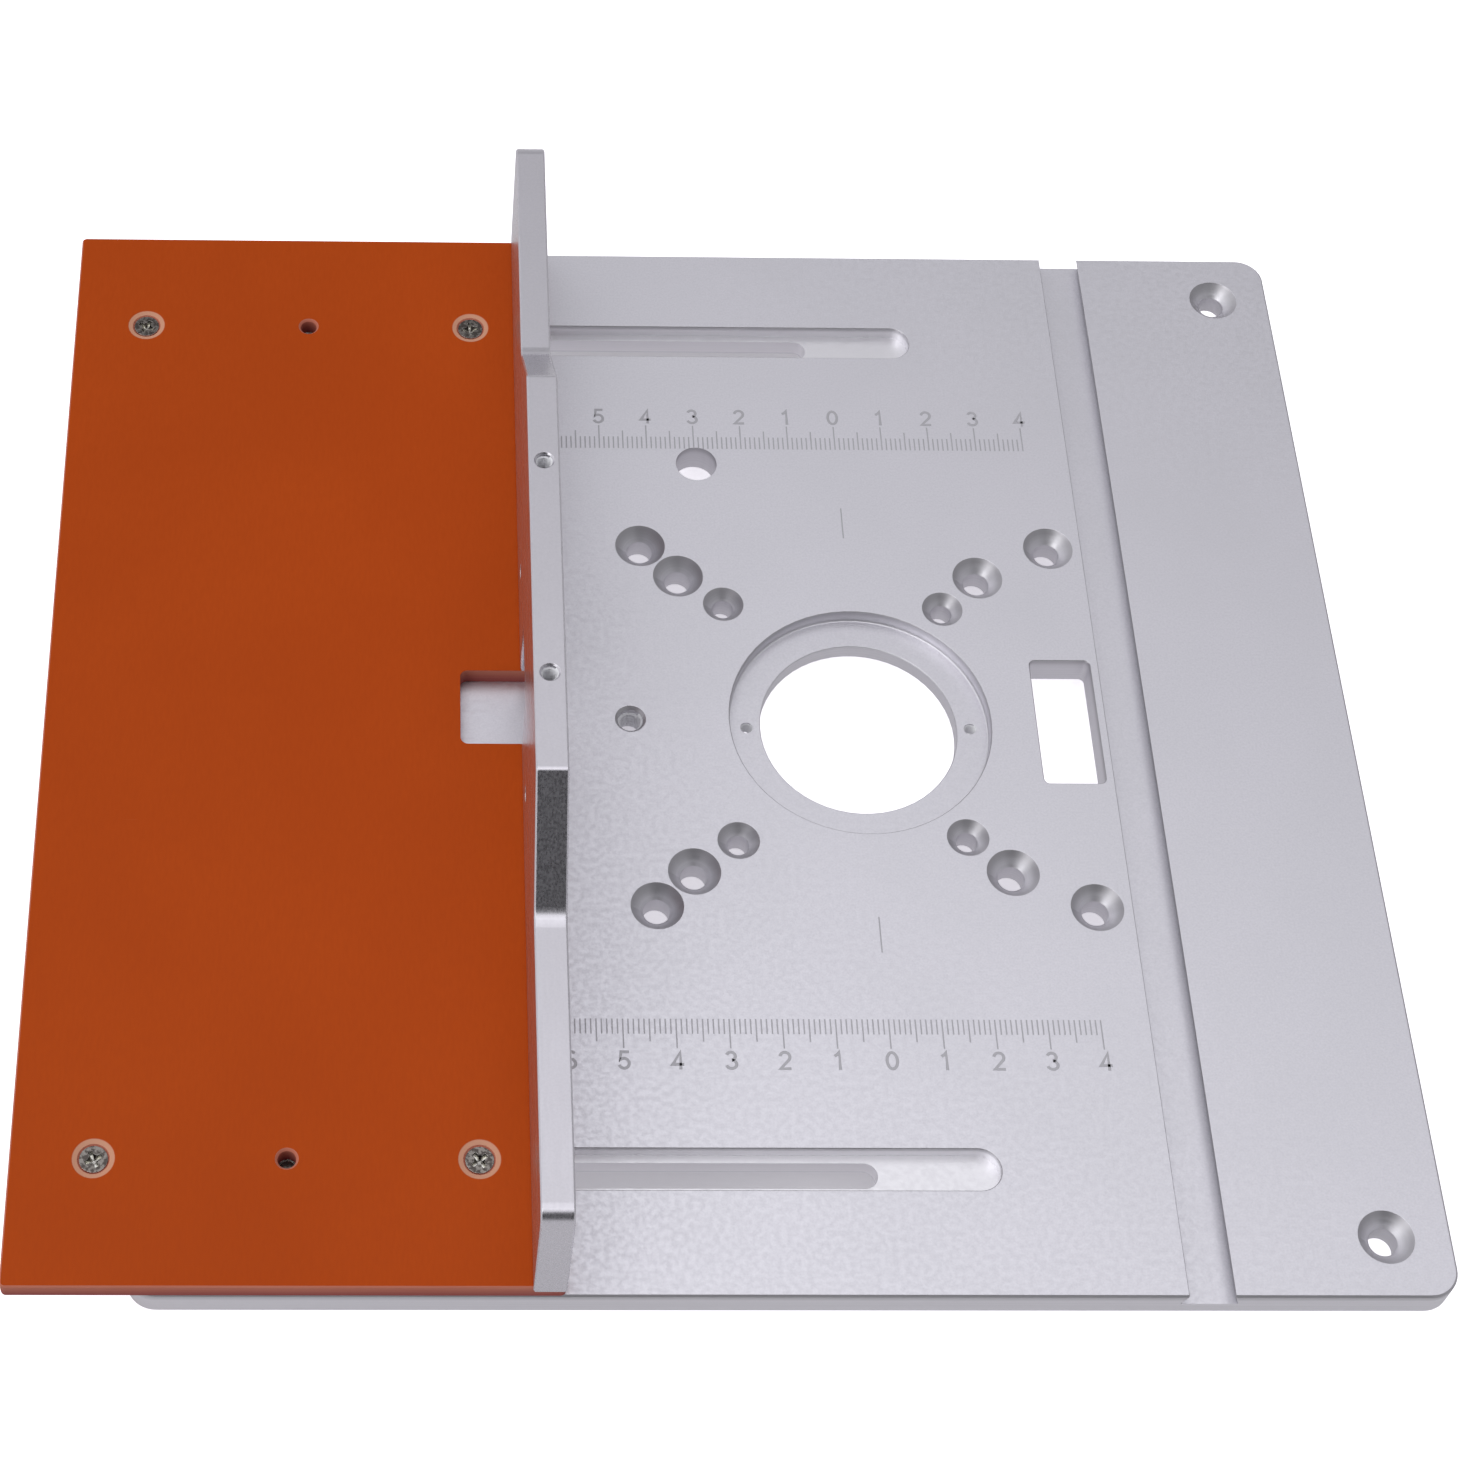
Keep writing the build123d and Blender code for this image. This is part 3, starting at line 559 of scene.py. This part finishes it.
# Painted light: under the plate the floor glows brighter in reflections and bounces, lighting the plate's underside and
# hole walls
FLOOR_UNDER_PLATE_PAINTED_LIGHT_GLOW = 0.33
# Painted shade: under the plate the floor glows dimmer as the camera sees it
FLOOR_PAINTED_SHADE_GLOW = 0.22
FLOOR_GLOW_TINT = rgb(1.0, 0.975, 1.03)
# Painted shade: dimmer patches of floor, as seen through the slots, the base screw holes and the pin hole:
# centre x, centre y, half length, half width, blur and glow
PAINTED_SHADE_PATCHES = [
    (-65 * MM, -87 * MM, 75 * MM, 7 * MM, 8 * MM, 0.16),
    (-65 * MM, 107 * MM, 75 * MM, 7 * MM, 8 * MM, 0.16),
    (-3 * MM, -27 * MM, 50 * MM, 11 * MM, 4 * MM, 0.45),
    (-3 * MM, 47 * MM, 50 * MM, 11 * MM, 4 * MM, 0.45),
    (-45 * MM, 10 * MM, 4 * MM, 4 * MM, 3 * MM, 0.30),
]


def floor():
    """A white floor that glows as a back-lit product table does, unseen from below; its glow is painted lower where
    shaded and in patches as painted shade, and painted higher under the plate in reflections and bounces as painted
    light.
    """
    bm = bmesh.new()
    bmesh.ops.create_grid(bm, x_segments=1, y_segments=1, size=FLOOR_SIZE / 2)
    mesh = bpy.data.meshes.new("floor")
    bm.to_mesh(mesh)
    bm.free()
    made = bpy.data.objects.new("floor", mesh)
    made.location.z = FLOOR_Z
    bpy.context.scene.collection.objects.link(made)
    material = bpy.data.materials.new("floor_white")
    tree = Tree(material)
    seen = tree.add("LightPath", out="Is Camera Ray")
    white = tree.blend(seen, FLOOR_MIRRORED["white"], FLOOR_SEEN["white"])
    matt = tree.add("BsdfDiffuse", {"Color": tree.add("CombineColor", {0: white, 1: white, 2: white})})
    x, y, _ = tree.split(tree.add("TexCoord", out="Object"))
    open_sky = tree.add("AmbientOcclusion", {"Distance": 60 * MM}, out="AO", samples=16)
    # Painted light and shade: the mirrored glow rises where the floor is shaded; the seen glow falls there and in the
    # patches
    mirrored_glow_painted_light = tree.ramp(open_sky, 0.15, 0.60, FLOOR_UNDER_PLATE_PAINTED_LIGHT_GLOW, FLOOR_MIRRORED["glow"])
    seen_glow_painted_shade = tree.ramp(open_sky, 0.03, 0.07, FLOOR_PAINTED_SHADE_GLOW, FLOOR_SEEN["glow"])
    for centre_x, centre_y, half_x, half_y, blur, glow in PAINTED_SHADE_PATCHES:
        patch = tree.math("MULTIPLY", near(tree, x, centre_x, half_x, blur), near(tree, y, centre_y, half_y, blur))
        seen_glow_painted_shade = tree.blend(patch, seen_glow_painted_shade, glow)
    glow_inputs = {"Color": FLOOR_GLOW_TINT, "Strength": tree.blend(seen, mirrored_glow_painted_light, seen_glow_painted_shade)}
    glow = tree.add("Emission", glow_inputs)
    from_above = tree.add("AddShader", {0: matt, 1: glow})
    below = tree.add("NewGeometry", out="Backfacing")
    shader = tree.add("MixShader", {0: below, 1: from_above, 2: tree.add("BsdfTransparent")})
    tree.add("OutputMaterial", {"Surface": shader})
    mesh.materials.append(material)


def studio_world():
    """An even white room: brightest overhead, greyer towards the horizon, dark behind the camera."""
    world = bpy.data.worlds.new("studio")
    bpy.context.scene.world = world
    tree = Tree(world)
    direction = tree.add("TexCoord", out="Generated")
    across, _, height = tree.split(direction)
    low_light = tree.math("MULTIPLY", tree.ramp(height, 0.26, 0.62, 0.42, 0.0), tree.ramp(across, -0.9, -0.4, 0.5, 1.0))
    sky = tree.math("ADD", tree.ramp(height, 0.66, 0.99, 0.23, 1.42), low_light)
    sky = tree.math("MULTIPLY", sky, tree.ramp(across, 0.02, 0.34, 1.0, 0.86))
    sky = tree.math("MULTIPLY", sky, tree.ramp(across, 0.40, 0.80, 1.0, 0.75))
    left = tree.vector("DOT_PRODUCT", direction, (-0.90, 0.0, 0.43), out="Value")
    sky = tree.math("ADD", sky, tree.ramp(left, 0.45, 0.95, 0.0, 0.45))
    toward_camera = tree.vector("DOT_PRODUCT", direction, (0.0, -0.83, 0.56), out="Value")
    sky = tree.math("MULTIPLY", sky, tree.ramp(toward_camera, 0.84, 0.97, 1.0, 0.15))
    colour = tree.add("CombineColor", {0: sky, 1: sky, 2: tree.math("MULTIPLY", sky, 1.035)})
    seen = tree.add("LightPath", out="Is Camera Ray")
    background = tree.add("Background", {"Color": tree.mix(seen, colour, rgb(1.0, 1.0, 1.0)), "Strength": 1.0})
    tree.add("OutputWorld", {"Surface": background})


def soft_box(name, place, target, size, power):
    """A square area light at place, aimed at target."""
    lamp = bpy.data.lights.new(name, "AREA")
    lamp.shape = "SQUARE"
    lamp.size = size
    lamp.energy = power
    made = bpy.data.objects.new(name, lamp)
    made.location = place
    made.rotation_euler = (Vector(target) - Vector(place)).to_track_quat("-Z", "Y").to_euler()
    bpy.context.scene.collection.objects.link(made)


CAMERA_PLACE = (-0.0936, -0.3349, 0.5261)
CAMERA_TURN = (34.343, -1.375, -0.493)
CAMERA_LENS = 77.16
CAMERA_SHIFT = (0.1786, -0.0784)


def camera():
    """The product shot's camera. Its lens shift holds only where the camera stands for that shot."""
    lens = bpy.data.cameras.new("camera")
    lens.sensor_width = 36.0
    lens.lens = CAMERA_LENS
    lens.clip_start, lens.clip_end = 0.01, 20.0
    made = bpy.data.objects.new("camera", lens)
    made.location = CAMERA_PLACE
    made.rotation_euler = [math.radians(angle) for angle in CAMERA_TURN]
    bpy.context.scene.collection.objects.link(made)
    bpy.context.scene.camera = made
    for channel, value in zip(("shift_x", "shift_y"), CAMERA_SHIFT):
        driver = lens.driver_add(channel).driver
        driver.type = "SCRIPTED"
        height = driver.variables.new()
        height.name = "height"
        height.targets[0].id = made
        height.targets[0].data_path = "location.z"
        driver.expression = f"{value} if abs(height - {CAMERA_PLACE[2]}) < 0.001 else 0.0"
    return made


floor()
studio_world()
soft_box("side_light", (-0.8, -0.5, 0.9), (-0.03, 0, 0), 0.5, 1.9)
camera()

scene = bpy.context.scene
scene.view_settings.view_transform = "Standard"
scene.view_settings.look = "None"
